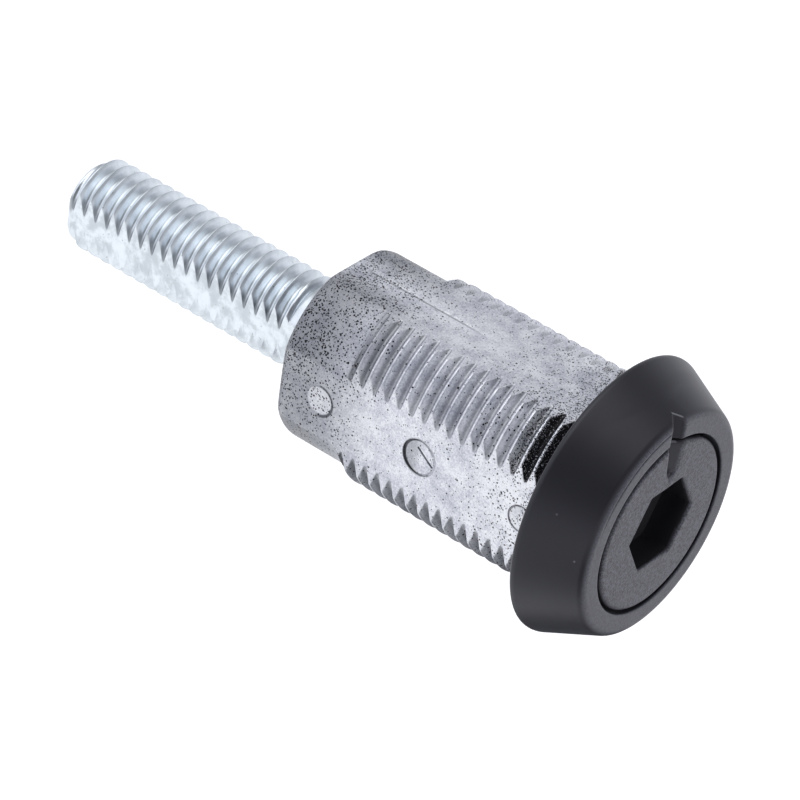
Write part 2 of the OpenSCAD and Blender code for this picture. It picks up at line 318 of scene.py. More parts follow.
def cad_part(node, cut_y, keep_above):
    """A copy of a CAD node's mesh on one side of a plane across the axis, closed at the cut."""
    bm = bmesh.new()
    bm.from_mesh(nodes[node].data)
    bmesh.ops.remove_doubles(bm, verts=bm.verts, dist=1e-6)
    cut = bmesh.ops.bisect_plane(
        bm, geom=bm.verts[:] + bm.edges[:] + bm.faces[:], dist=1e-7,
        plane_co=(0, cut_y * MM, 0), plane_no=(0, 1, 0),
        clear_inner=keep_above, clear_outer=not keep_above)
    edges = [e for e in cut["geom_cut"] if isinstance(e, bmesh.types.BMEdge)]
    bmesh.ops.triangle_fill(bm, edges=edges, use_beauty=True)
    mesh = bpy.data.meshes.new(node + "_inner")
    bm.to_mesh(mesh)
    bm.free()
    return mesh


def add_object(name, bm):
    """An object made from a bmesh, which is used up."""
    mesh = bpy.data.meshes.new(name)
    bm.to_mesh(mesh)
    bm.free()
    obj = bpy.data.objects.new(name, mesh)
    bpy.context.scene.collection.objects.link(obj)
    return obj


def piece(name, meshes, sharp=SHARP_ANGLE):
    """An object made of closed meshes, smooth apart from edges sharper than an angle."""
    bm = bmesh.new()
    for mesh in meshes:
        bm.from_mesh(mesh)
        bpy.data.meshes.remove(mesh)
    bmesh.ops.recalc_face_normals(bm, faces=bm.faces)
    for face in bm.faces:
        face.smooth = True
    obj = add_object(name, bm)
    obj.data.set_sharp_from_angle(angle=math.radians(sharp))
    return obj


def columns(sectors, steps):
    """Column tables of sectors that are symmetric about their middles: middle angle, side and step."""
    table = []
    for s in range(sectors):
        middle = 360 * s / sectors
        table += [(middle, -1, i) for i in range(steps, 0, -1)]
        table += [(middle, 1, i) for i in range(steps)]
    return [np.array(c) for c in zip(*table)]


def thread_profile(shift, crest_r, root_r):
    """Radius of a thread at a distance along the axis from a crest's middle."""
    off = ((shift / PITCH + 0.5) % 1 - 0.5) * PITCH
    flank = crest_r - (np.abs(off) - CREST_HALF) * (crest_r - root_r) / FLANK_W
    cast_line = CREST_LINE_DEPTH * bell(off - CREST_LINE_AT, CREST_LINE_W)
    return soft_min(crest_r, soft_max(root_r, flank, ROOT_SOFT), CREST_SOFT) - cast_line


def thread_rows(start, end, crest):
    """Places of a thread's rows along the axis."""
    first, last = int(start // PITCH) - 1, int(end // PITCH) + 2
    rows = [crest + k * PITCH + t for k in range(first, last) for t in THREAD_ROWS]
    return [start] + [y for y in rows if start + END_ROW_GAP < y < end - END_ROW_GAP] + [end]


def helix_shift(angle, closed_from):
    """Rise of a thread at an angle. It falls back to zero within the flat opposite angle 0."""
    wrapped = wrap(angle)
    rise = PITCH * np.clip(wrapped, -closed_from, closed_from) / 360
    return rise * (1 - np.clip((np.abs(wrapped) - closed_from) / (180 - closed_from), 0, 1))


def helix_weight(y, start, full, fading, end):
    """Share of a thread's rise that a row has: none at the thread's ends."""
    return ramp(y, start, full) * (1 - ramp(y, fading, end))


# Housing: the bezel and the flatted barrel, cast as one piece

STEPS = 18
MIDDLE, SIDE, STEP = columns(4, STEPS)
EVEN = 45 * np.arange(STEPS + 1) / STEPS
# Offsets of the columns inside, with a close pair at each end of a pocket
INNER = np.array([0, 4, 8, 12, POCKET_ANGLE - POCKET_STEP, POCKET_ANGLE, 16, 18, 20, 22, 24, 26,
                  29, 32, 35, 38, 40, 42.5, 45])
# Columns on and beside a flat: at the parting line, as shares of the flat, and off its edge in degrees
SEAM_STEP = 0.5
FLAT_SHARES = (0.3, 0.55, 0.75, 0.86)
EDGE_STEPS = (-1.6, -0.5, 0, 0.5, 1.6)


def at_angle(offsets):
    """Angle of every column, from the offset of each step within a half sector."""
    return MIDDLE + SIDE * offsets[STEP]


def bezel_angles(r):
    """Angles of the columns on the bezel, which follow the notch's sides until it has run out."""
    near = np.degrees(np.arcsin(NOTCH_X / r))
    notch = np.concatenate([near, np.linspace(near[-1], 45, STEPS + 2 - len(near))[1:]])
    share = ramp(r, *NOTCH_FADE_R)
    by_notch = at_angle(notch * (1 - share) + EVEN * share)
    return np.where(MIDDLE == 0, by_notch, at_angle(EVEN))


def pocket_angles():
    return np.where(MIDDLE % 180 == 0, at_angle(INNER), at_angle(EVEN))


def barrel_offsets(round_r):
    """Offsets of the columns on the barrel, which follow the edges between the round and the flats."""
    edge = np.degrees(np.arccos(np.clip(FLAT_D / round_r, 0, 1)))
    near = [0 * edge, 0 * edge + SEAM_STEP]
    near += [edge * t for t in FLAT_SHARES] + [edge + off for off in EDGE_STEPS]
    far = [near[-1] + (45 - near[-1]) * t for t in np.linspace(0, 1, STEPS + 2 - len(near))[1:]]
    return np.choose(STEP, near + far)


def barrel_round(angle, y):
    """Radius of the barrel between its flats: thread, run-out and tail."""
    thread = thread_profile(y - CREST_Y - PITCH * angle / 360, THREAD_R, ROOT_R)
    thread = np.maximum(thread, THREAD_R - np.maximum(y - SEAT_LAND, 0) * LAND_SLOPE)
    run_out = soft_max(TAIL_R, TAIL_R + (THREAD_END - y) * RUN_OUT_SLOPE, RUN_OUT_SOFT)
    return soft_min(thread, run_out, THREAD_SOFT)


def seam(y):
    """Depth of the fine, uneven parting line along the middle of the upper flat."""
    shown = ramp(y, *SEAM_START) * (1 - ramp(y, *SEAM_END))
    uneven = 0.7 + 0.3 * np.sin(2.1 * y) * np.sin(0.83 * y + 1)
    return SEAM_DEPTH * shown * uneven


def barrel_row(y_row, weight):
    """Radius, angle and place of the columns in a row that climbs by a share of the thread's rise."""
    angle = MIDDLE + SIDE * barrel_offsets(np.full(len(STEP), 0.5 * (THREAD_R + ROOT_R)))
    # the columns follow the flats' edges, which follow the radius at the columns, so it takes a few goes
    for _ in range(3):
        y = y_row + weight * helix_shift(angle, BARREL_CLOSED)
        round_r = barrel_round(wrap(angle), y)
        offset = barrel_offsets(round_r)
        angle = MIDDLE + SIDE * offset
    r = soft_min(round_r, FLAT_D / cos_d(offset), FLAT_SOFT)
    r = np.where((STEP == 0) & (MIDDLE == 0), r - seam(y), r)
    return r, angle, y


def crease(angle, r):
    """Depth of the fine crease in the paint between the ring and its front edge."""
    shown = 1 - ramp(np.abs(wrap(angle - CREASE_ANGLE)), *CREASE_FADE)
    return CREASE_DEPTH * shown * bell(r - CREASE_R, CREASE_W)


def front_row(r, y):
    """A row on the bezel's ring and cone, cut by the indicator notch."""
    angle = bezel_angles(r)
    x, z = r * sin_d(angle), r * cos_d(angle)
    notch_floor = FRONT_Y + NOTCH_HALF - np.sqrt(x * x + NOTCH_ROOT ** 2)
    cut = np.where(z > 0, notch_floor, -np.inf)
    return polar(r, angle, soft_max(y + crease(angle, r), cut, NOTCH_SOFT))


def bezel_rows():
    """Mouth, ring, cone and rim, from the driver's seat to the bezel's back."""
    ring, cone = (RING_R, FRONT_Y), (RIM_R, -RIM_H)
    inner = arc((MOUTH_R, FRONT_Y), (MOUTH_R, 0), ring, MOUTH_ROUND, 4)
    front = arc(ring, (0, FRONT_Y), cone, FRONT_ROUND, 10)
    rim = arc(cone, ring, (RIM_R, 0), CONE_ROUND, 4)
    back = arc((RIM_R, 0), cone, (0, 0), RIM_ROUND, 5)
    notch_end = front[-1] + (rim[0] - front[-1]) * NOTCH_CONE_SHARE

    points = list(inner)
    points += [(r, FRONT_Y) for r in np.linspace(inner[-1][0], CREASE_R - CREASE_REACH, 6)[1:]]
    points += [(CREASE_R + off, FRONT_Y) for off in CREASE_ROWS]
    points += front + line(front[-1], notch_end, 26) + line(notch_end, rim[0], 6)[:-1]

    rows = [polar(MOUTH_R, bezel_angles(MOUTH_R), y) for y in (SEAT_Y, MOUTH_ROW_Y)]
    rows += [front_row(r, y) for r, y in points]
    return rows + [polar(r, bezel_angles(r), y) for r, y in rim + back]


def barrel_rows():
    """Back of the bezel and the barrel's thread, up to its tail."""
    outer = RIM_R - RIM_ROUND
    start = bezel_angles(outer)
    r, angle, _ = barrel_row(0.0, 0.0)
    rows = [polar(outer + (r - outer) * t, between(start, angle, t), 0.0) for t in (0.4, 0.75, 1)]
    for y in thread_rows(SEAT_LAND, THREAD_END, CREST_Y):
        rows.append(polar(*barrel_row(y, helix_weight(y, *BARREL_HELIX))))
    return rows + [polar(*barrel_row(y, 0.0)) for y in TAIL_ROWS]


def tail_rows():
    """The tail's rounded end and the rear face, in to the shaft's hole."""
    offset = barrel_offsets(np.full(len(STEP), TAIL_R))
    angle = MIDDLE + SIDE * offset
    rows = []
    for turn in np.linspace(0, 90, 9):
        inset = TAIL_ROUND * (1 - cos_d(turn))
        y = BARREL_L - TAIL_ROUND * (1 - sin_d(turn))
        flat = (FLAT_D - TAIL_FLAT_SHARE * inset) / cos_d(offset)
        r = soft_min(TAIL_R - inset, flat, TAIL_SOFT[0] + TAIL_SOFT[1] * inset)
        rows.append(polar(r, angle, y))
    lip = HOLE_R + HOLE_CHAMFER
    for t in (0.4, 0.8):
        rows.append(polar(r + (lip - r) * t, between(angle, pocket_angles(), t), BARREL_L))
    return rows


def inside_rows():
    """The shaft's hole, the stop pockets and the bore, back to the driver's seat."""
    angle = pocket_angles()
    apart = np.abs((angle + 90) % 180 - 90)
    depth = np.where(apart > POCKET_ANGLE - POCKET_STEP / 2, POCKET_DEPTH, 0.0)
    low, high = POCKET_R
    wall = [(HOLE_R + HOLE_CHAMFER, BARREL_L), (HOLE_R, BARREL_L - HOLE_CHAMFER), (HOLE_R, WALL_Y),
            (low, WALL_Y), (low, WALL_Y + depth), (high, WALL_Y + depth), (high, WALL_Y)]
    bore = [(BORE_R, WALL_Y), (BORE_R, SNAP_Y[1]), (SNAP_R, SNAP_Y[1]), (SNAP_R, SNAP_Y[0]),
            (BORE_R, SNAP_Y[0]), (BORE_R, SEAT_Y)]
    return [polar(r, angle, y) for r, y in wall] + [polar(r, at_angle(EVEN), y) for r, y in bore]


def lathe_cutter(name, outline, place, lean=0.0, steps=48):
    """A cutter turned about X at a place [y, z] on the flat at nine o'clock, from [radius, depth] points.

    It leans to cut deeper towards the tail, by a share of the distance from its middle.
    """
    bm = bmesh.new()
    turns = [2 * math.pi * k / steps for k in range(steps)]
    rings = []
    for r, depth in outline:
        ring = []
        for a in turns:
            along, up = r * math.cos(a), r * math.sin(a)
            deep = depth + lean * along
            spot = Vector((-FLAT_D + deep, place[0] + along, place[1] + up))
            ring.append(bm.verts.new(spot * MM))
        rings.append(ring)
    for low, high in zip(rings, rings[1:]):
        for k in range(steps):
            bm.faces.new((low[k], low[(k + 1) % steps], high[(k + 1) % steps], high[k]))
    bm.faces.new(rings[0])
    bm.faces.new(rings[-1])
    bmesh.ops.recalc_face_normals(bm, faces=bm.faces)
    return add_object(name, bm)


def closed_outline(points, radius):
    """A cutter's outline, which goes on from its points to its top above the flat."""
    return points + [(radius, CUTTER_TOP), (CUTTER_CORE, CUTTER_TOP)]


def ringed_mark(radius):
    """Outline of a shallow round mark with a fine groove around it."""
    start, deep, end = (radius - inset for inset in MARK_RING)
    mark = [(CUTTER_CORE, MARK_DEPTH), (start, MARK_DEPTH)]
    groove = [(deep, MARK_RING_DEPTH), (end, MARK_RING_DEPTH)]
    return closed_outline(mark + groove, radius + MARK_FLARE)


def bar_cutter(name, place, size, slant):
    """A slanting bar at a place [y, z] on the flat at nine o'clock."""
    bm = bmesh.new()
    at = Matrix.Translation([v * MM for v in (-FLAT_D, *place)])
    turn = Matrix.Rotation(math.radians(slant), 4, "X")
    scale = Matrix.Diagonal([v * MM for v in size] + [1])
    bmesh.ops.create_cube(bm, size=1, matrix=at @ turn @ scale)
    return add_object(name, bm)


def cut(obj, cutters):
    """Cuts an object by others, which are used up."""
    for cutter in cutters:
        boolean = obj.modifiers.new("mark", "BOOLEAN")
        boolean.operation, boolean.solver, boolean.object = "DIFFERENCE", "EXACT", cutter
    depsgraph = bpy.context.evaluated_depsgraph_get()
    mesh = bpy.data.meshes.new_from_object(obj.evaluated_get(depsgraph))
    obj.modifiers.clear()
    old, obj.data = obj.data, mesh
    mesh.name = old.name + "_mesh"
    bpy.data.meshes.remove(old)
    for cutter in cutters:
        bpy.data.objects.remove(cutter)


housing_rows = bezel_rows() + barrel_rows() + tail_rows() + inside_rows()
housing = piece("housing_casting", [ring_mesh("housing_rows", housing_rows, True)])
cut(housing, [
    lathe_cutter("rear_mark", closed_outline(REAR_DISH, REAR_DISH_R), REAR_MARK),
    lathe_cutter("middle_mark", ringed_mark(MIDDLE_MARK_R), MIDDLE_MARK, MARK_LEAN),
    lathe_cutter("middle_crescent", ringed_mark(MIDDLE_CRESCENT_R), MIDDLE_CRESCENT, MARK_LEAN),
    lathe_cutter("front_mark", ringed_mark(FRONT_MARK_R), FRONT_MARK),
    bar_cutter("middle_bar", MIDDLE_BAR, BAR_SIZE, BAR_SLANT),
])


# Driver: its disc with the hex socket and the notch, on the sleeve from the CAD part

DRIVER_STEPS = 10
DISC_MIDDLE, DISC_SIDE, DISC_STEP = columns(6, DRIVER_STEPS)
DISC_EVEN = 30 * np.arange(DRIVER_STEPS + 1) / DRIVER_STEPS
DISC_ANGLE = DISC_MIDDLE + DISC_SIDE * DISC_EVEN[DISC_STEP]


def driver_angles(r):
    """Angles of the columns on the disc, which follow the notch's sides where it has begun."""
    near = np.degrees(np.arcsin(np.clip(DRIVER_NOTCH_X / r, 0, 0.5)))
    share = ramp(r, *DRIVER_NOTCH_FADE_R)
    notch = np.append(DISC_EVEN[:-1] * (1 - share) + near * share, 30)
    return DISC_MIDDLE + DISC_SIDE * np.where(DISC_MIDDLE == 0, notch[DISC_STEP], DISC_EVEN[DISC_STEP])


def hex_radius(angle, grown):
    """Radius of the socket, grown by an amount on each of its flats."""
    off = (angle + 30) % 60 - 30
    here, beside = (HEX_D + grown) / cos_d(off), (HEX_D + grown) / cos_d(60 - np.abs(off))
    return soft_min(here, beside, HEX_CORNER[0] + HEX_CORNER[1] * grown)


def hex_edge(angle):
    """Width of the socket's rounded edge, which is worn wider on the right."""
    worn = np.clip(sin_d(angle), 0, 1)
    return HEX_ROUND[0] + (HEX_ROUND[1] - HEX_ROUND[0]) * worn


def flaw(x, r, at_x, at_r, depth, spread):
    """Depth of a small round flaw of the casting."""
    return depth * np.exp(-((x - at_x) ** 2 + (r - at_r) ** 2) / spread)


def driver_groove(x, r):
    """Depth of the indicator notch, whose right side is cast softer than its left."""
    half = np.interp(r, DRIVER_NOTCH_R, DRIVER_NOTCH_HALF)
    wide = np.maximum(half, DRIVER_NOTCH_MIN)
    right = half - x * wide / (wide + DRIVER_NOTCH_SPREAD)
    depth = np.where(x < 0, half + x, right)
    groove = soft_max(0, depth, np.where(x < 0, *DRIVER_NOTCH_SOFT))
    near = np.where(depth > DRIVER_NOTCH_NEAR, 1, 0)
    return groove * near + flaw(x, r, *FLAW_PIT) + flaw(x, r, *FLAW_BLOB)


def face_row(r, angle, y):
    """A row on the driver's face, cut by the indicator notch."""
    x, z = r * sin_d(angle), r * cos_d(angle)
    return polar(r, angle, y + np.where(z > 0, driver_groove(x, r), 0))


def socket_rows():
    """The hex socket's walls and its rounded edge."""
    edge = hex_edge(DISC_ANGLE)
    rows = [polar(hex_radius(DISC_ANGLE, 0), DISC_ANGLE, y) for y in (DISC_CUT_Y, HEX_ROW_Y)]
    for turn in np.linspace(0, 90, 6):
        grown = edge * (1 - cos_d(turn))
        rows.append(polar(hex_radius(DISC_ANGLE, grown), DISC_ANGLE, FRONT_Y + edge * (1 - sin_d(turn))))
    return rows


def disc_rows():
    """The driver's face, from the socket's edge out to the disc's round, and the disc's side."""
    rows = []
    last = DISC_R - DISC_ROUND
    for t in np.linspace(0, 1, FACE_ROWS + 1)[1:]:
        angle = DISC_ANGLE
        for _ in range(2):
            r = hex_radius(angle, hex_edge(angle)) * (1 - t) + last * t
            angle = driver_angles(float(np.min(r)))
        rows.append(face_row(r, angle, FRONT_Y))
    for turn in np.linspace(0, 90, 6)[1:]:
        r = last + DISC_ROUND * sin_d(turn)
        rows.append(face_row(r, driver_angles(r), FRONT_Y + DISC_ROUND * (1 - cos_d(turn))))
    return rows + [polar(DISC_R, DISC_ANGLE, y) for y in (DISC_ROW_Y, DISC_CUT_Y)]


driver = piece("driver_body", [
    ring_mesh("driver_rows", socket_rows() + disc_rows(), True),
    cad_part("driver", DISC_CUT_Y, True),
])


# Shaft: its neck, thread and flats, on the inner end from the CAD part

SHAFT_STEPS = 20
SHAFT_MIDDLE, SHAFT_SIDE, SHAFT_STEP = columns(2, SHAFT_STEPS)
SHAFT_FLAT_SHARES = (0, 0.25, 0.5, 0.7, 0.85)
SHAFT_EDGE_STEPS = (-0.7, 0, 0.7, 2)


def shaft_offsets(round_r):
    """Offsets of the columns on the shaft, which follow the edges between the round and the flats."""
    edge = np.degrees(np.arccos(np.clip(SHAFT_FLAT / round_r, 0, 1)))
    near = [edge * t for t in SHAFT_FLAT_SHARES] + [edge + off for off in SHAFT_EDGE_STEPS]
    far = [near[-1] + (90 - near[-1]) * t for t in np.linspace(0, 1, SHAFT_STEPS + 2 - len(near))[1:]]
    return np.choose(SHAFT_STEP, near + far)


def shaft_round(angle, y):
    """Radius of the shaft between its flats: ringed neck, thread and tip."""
    thread = thread_profile(y - SHAFT_CREST_Y - PITCH * angle / 360, SHAFT_R, SHAFT_ROOT_R)
    start = NECK_R + np.maximum(y - SHAFT_THREAD_Y, 0) * SHAFT_START_SLOPE - SHAFT_SOFT
    tip = SHAFT_R - TIP_CHAMFER + (TIP_Y - y)
    neck = NECK_R - NECK_RING_DEPTH * sum(bell(y - place, NECK_RING_W) for place in NECK_RINGS)
    body = np.where(y < SHAFT_THREAD_Y + END_ROW_GAP, neck, soft_min(thread, start, SHAFT_SOFT))
    return soft_min(body, tip, TIP_SOFT)


def shaft_row(y_row, weight):
    """A row that climbs by a share of the thread's rise."""
    angle = SHAFT_MIDDLE + SHAFT_SIDE * shaft_offsets(np.full(len(SHAFT_STEP), NECK_R))
    for _ in range(3):
        y = y_row + weight * helix_shift(angle, SHAFT_CLOSED)
        round_r = shaft_round(wrap(angle), y)
        offset = shaft_offsets(round_r)
        angle = SHAFT_MIDDLE + SHAFT_SIDE * offset
    flat = SHAFT_FLAT - TIP_FLAT_CUT * ramp(y, TIP_Y - TIP_FLAT_L, TIP_Y)
    r = soft_min(round_r, flat / cos_d(offset), SHAFT_SOFT)
    # the flats face left and right, so the middle of the first one is turned to nine o'clock
    return polar(r, angle - 90, y)


def shaft_rows():
    """Neck and thread, from the cut inside the barrel to the tip."""
    rows = [shaft_row(y, 0.0) for y in (SHAFT_CUT_Y, NECK_Y, *NECK_ROWS)]
    for y in thread_rows(SHAFT_THREAD_Y, TIP_Y, SHAFT_CREST_Y):
        rows.append(shaft_row(y, helix_weight(y, *SHAFT_HELIX)))
    return rows


shaft = piece("shaft_threaded", [
    ring_mesh("shaft_rows", shaft_rows(), False),
    cad_part("shaft", SHAFT_CUT_Y, False),
])


# Return spring: round wire on a helix with a closed turn at each end

def spring_rows(sides=14, turn_steps=48):
    low, high = SPRING_Y[0] + SPRING_WIRE, SPRING_Y[1] - SPRING_WIRE
    closed = 2 * SPRING_WIRE + SPRING_PLAY
    turns = np.linspace(0, SPRING_TURNS, SPRING_TURNS * turn_steps + 1)
    rise = np.interp(turns, [0, 1, SPRING_TURNS - 1, SPRING_TURNS], [low, low + closed, high - closed, high])
    around = np.linspace(0, 360, sides, endpoint=False)
    r, up = SPRING_R + SPRING_WIRE * cos_d(around), SPRING_WIRE * sin_d(around)
    return [polar(r, 360 * turn, y + up) for turn, y in zip(turns, rise)]


spring = piece("return_spring_coil", [ring_mesh("spring_rows", spring_rows(), False)], SPRING_SHARP_ANGLE)


# Shader nodes

# The materials give noise as [size, detail, roughness], and a step as where it starts and ends,
# followed by its two levels where these aren't 0 and 1.
AXIS = (0.0, 0.0)
# The cells of specks are turned, so that no layer of them lies along a flat
SPECK_AXIS = (1.0, 2.0, 3.0)
SPECK_TURN = 0.7
SPECK_SOFT = 0.04
# A point of the barrel is on a flat when x or z reaches the first of these, and on a round below the second
OFF_FLAT = (FLAT_D - 0.03, FLAT_D - 0.1)


def fill(tree, made, values):
    """Fills a node's sockets with values or links."""
    for key, value in values.items():
        if isinstance(value, bpy.types.NodeSocket):
            tree.links.new(value, made.inputs[key])
        else:
            made.inputs[key].default_value = value


def node(tree, kind, ins=None, out=0, **settings):
    """Adds a shader node, fills its sockets and returns one output."""
    made = tree.nodes.new("ShaderNode" + kind)
    for key, value in settings.items():
        setattr(made, key, value)
    fill(tree, made, ins or {})
    return made.outputs[out]


def calc(tree, operation, a, b=0.0, c=0.0, clamp=False):
    return node(tree, "Math", {0: a, 1: b, 2: c}, operation=operation, use_clamp=clamp)


def plus(tree, base, *layers):
    """A base value plus masks times their weights."""
    for mask, weight in layers:
        base = calc(tree, "MULTIPLY_ADD", mask, weight, base)
    return base


def product(tree, *values):
    out = values[0]
    for value in values[1:]:
        out = calc(tree, "MULTIPLY", out, value)
    return out


def largest(tree, *values):
    out = values[0]
    for value in values[1:]:
        out = calc(tree, "MAXIMUM", out, value)
    return out


def step_map(tree, value, low, high, to_low=0.0, to_high=1.0):
    """A smooth step from one value to another."""
    return node(tree, "MapRange", {"Value": value, 1: low, 2: high, 3: to_low, 4: to_high},
                interpolation_type="SMOOTHSTEP")


def mix(tree, share, a, b):
    return node(tree, "Mix", {0: share, 6: a, 7: b}, out=2, data_type="RGBA")


def object_place(tree):
    return node(tree, "TexCoord", out=3)


def places(tree, where):
    """x, y and z in mm."""
    split = node(tree, "SeparateXYZ", {0: where})
    return [calc(tree, "MULTIPLY", out, 1 / MM) for out in split.node.outputs]


def distance(tree, a, b, centre):
    """Distance of two coordinates from a centre."""
    da, db = calc(tree, "SUBTRACT", a, centre[0]), calc(tree, "SUBTRACT", b, centre[1])
    return calc(tree, "SQRT", calc(tree, "ADD", product(tree, da, da), product(tree, db, db)))


def noise(tree, where, size, detail, rough):
    """Noise with features of a size in mm."""
    ins = {"Vector": where, "Scale": 1 / (size * MM), "Detail": detail, "Roughness": rough}
    return node(tree, "TexNoise", ins)


def specks(tree, where, size, share, radii):
    """Round specks in cells of a size: the share of cells that have one, and its range of radii in mm."""
    turned = node(tree, "VectorRotate", {"Vector": where, "Axis": SPECK_AXIS, "Angle": SPECK_TURN})
    cell = node(tree, "TexVoronoi", {"Vector": turned, "Scale": 1 / (size * MM), "Randomness": 1.0})
    parts = node(tree, "SeparateColor", {0: cell.node.outputs["Color"]})
    low, high = radii[0] / size, radii[1] / size
    radius = plus(tree, low, (parts.node.outputs[1], high - low))
    soft = step_map(tree, calc(tree, "SUBTRACT", radius, cell), -SPECK_SOFT, SPECK_SOFT)
    return product(tree, soft, calc(tree, "LESS_THAN", parts, share))


def off_flats(tree, x, z):
    """1 on the barrel's rounds, and 0 on its flats."""
    reach = largest(tree, calc(tree, "ABSOLUTE", x), calc(tree, "ABSOLUTE", z))
    return step_map(tree, reach, *OFF_FLAT)


def material(name):
    made = bpy.data.materials.new(name)
    made.use_nodes = True
    tree = made.node_tree
    shader = next(n for n in tree.nodes if n.type == "BSDF_PRINCIPLED")
    return made, tree, shader


def bump(tree, shader, height, depth, strength):
    """Bumps of a depth in mm."""
    out = node(tree, "Bump", {"Height": height, "Distance": depth * MM, "Strength": strength})
    tree.links.new(out, shader.inputs["Normal"])


# Black coat of the bezel and the driver

COAT_DARK = (0.008, 0.008, 0.011, 1)
COAT_LIGHT = (0.100, 0.100, 0.130, 1)
COAT_EDGE_HIGHLIGHT = (0.2, 0.2, 0.22, 1)
COAT_GRAIN = (0.22, 3.0, 0.7)
COAT_SANDY = (0.4, 0.6, -0.5, 0.5)
# The front faces begin here; they are painted lighter than the cone, as painted light
COAT_FACE_Y = (FRONT_Y + 0.3, FRONT_Y + 0.02)
COAT_CLEAR_R = (DISC_R, MOUTH_R, 1.0, 0.4)
COAT_SHINE = {
    "Specular IOR Level": 0.55,
    "Specular Tint": (0.91, 0.91, 1.0, 1),
    "Sheen Weight": 0.12,
    "Sheen Roughness": 0.45,
    "Sheen Tint": (0.88, 0.89, 1.0, 1),
    "Roughness": 0.42,
}
DUST = (0.15, 0.15, 0.165, 1)
DUST_CELL = 2.2
DUST_SHARE = 0.35
DUST_R = (0.05, 0.09)

# Painted highlights on the ends of the notches: widths about the edge, and where they lie
CONE_SLOPE = (-RIM_H - FRONT_Y) / (RIM_R - RING_R)
HIGHLIGHT_CONE_W = (0.22, 0.06)
HIGHLIGHT_CONE_X = (0.95, 0.7)
HIGHLIGHT_DISC_W = (0.14, 0.05)
HIGHLIGHT_DISC_X = (0.9, 0.7)
HIGHLIGHT_DISC_R = DISC_R - 0.2
HIGHLIGHT_X = (-0.1, 0.05)
HIGHLIGHT_Y = (-4.0, -4.6)
HIGHLIGHT_Z = (7.0, 8.0)


def painted_edge_highlights(tree, x, y, z):
    """Painted highlights, where the coat's colour is made pale: the notch's far end on the cone, and its
    outer end on the disc.
    """
    radius = distance(tree, x, z, AXIS)
    rise = plus(tree, -CONE_SLOPE * RING_R, (radius, CONE_SLOPE))
    off_cone = calc(tree, "ABSOLUTE", calc(tree, "ADD", calc(tree, "ADD", rise, x), -NOTCH_HALF))
    off_disc = calc(tree, "ABSOLUTE", calc(tree, "SUBTRACT", radius, HIGHLIGHT_DISC_R))
    cone = product(tree, step_map(tree, off_cone, *HIGHLIGHT_CONE_W), step_map(tree, x, *HIGHLIGHT_CONE_X))
    disc = product(tree, step_map(tree, off_disc, *HIGHLIGHT_DISC_W), step_map(tree, x, *HIGHLIGHT_DISC_X))
    near = product(tree, step_map(tree, x, *HIGHLIGHT_X), step_map(tree, y, *HIGHLIGHT_Y), step_map(tree, z, *HIGHLIGHT_Z))
    return product(tree, largest(tree, cone, disc), near)


def black_coat():
    """Matt black coat, with a sandy grain on the front faces that is clearest on the disc. The front faces
    are also painted lighter than the cone, as painted light.
    """
    made, tree, shader = material("black_powder_coat")
    where = object_place(tree)
    x, y, z = places(tree, where)
    front = step_map(tree, y, *COAT_FACE_Y)
    clear = product(tree, front, step_map(tree, distance(tree, x, z, AXIS), *COAT_CLEAR_R))
    grain = noise(tree, where, *COAT_GRAIN)
    # the half step towards the light colour on every front face is painted light; the rest is the sandy grain
    grain_and_painted_light = plus(tree, product(tree, front, 0.5), (step_map(tree, grain, *COAT_SANDY), clear))
    colour = mix(tree, grain_and_painted_light, COAT_DARK, COAT_LIGHT)
    # painted highlights along the notches' ends
    colour = mix(tree, painted_edge_highlights(tree, x, y, z), colour, COAT_EDGE_HIGHLIGHT)
    dust = specks(tree, where, DUST_CELL, DUST_SHARE, DUST_R)
    fill(tree, shader, COAT_SHINE)
    fill(tree, shader, {"Base Color": mix(tree, dust, colour, DUST)})
    bump(tree, shader, product(tree, grain, clear), 0.08, 0.8)
    return made


# Painted shade: a dull, dark finish inside the socket, and in the gap round the disc

SOCKET_DARK = (0.018, 0.018, 0.021, 1)
SOCKET_BOTTOM = (0.085, 0.085, 0.093, 1)
SOCKET_BOTTOM_Y = (FRONT_Y + 1.0, FRONT_Y + 6.0)


def socket_and_gap_shade():
    """The inside of the socket and the walls of the gap, where the coat is dull and dark as painted shade,
    and lighter towards the bottom.
    """
    made, tree, shader = material("socket_and_gap_shade")
    y = places(tree, object_place(tree))[1]
    colour = mix(tree, step_map(tree, y, *SOCKET_BOTTOM_Y), SOCKET_DARK, SOCKET_BOTTOM)
    fill(tree, shader, {"Base Color": colour, "Specular IOR Level": 0.12, "Roughness": 0.6})
    return made


# Cast zinc of the barrel

ZINC_DARK = (0.48, 0.50, 0.57, 1)
ZINC_LIGHT = (0.93, 0.94, 0.98, 1)
ZINC_TONES = (0.40, 0.59)
ZINC_CLOUDS = (6.0, 5.0, 0.56)
ZINC_PATCHES = (1.6, 5.0, 0.6)
ZINC_GRAIN = (0.2, 3.0, 0.7)
ZINC_PAINTED_LIGHT_Y = (15.0, 4.0)
ZINC_PAINTED_LIGHT_X = (-8.0, -9.2)


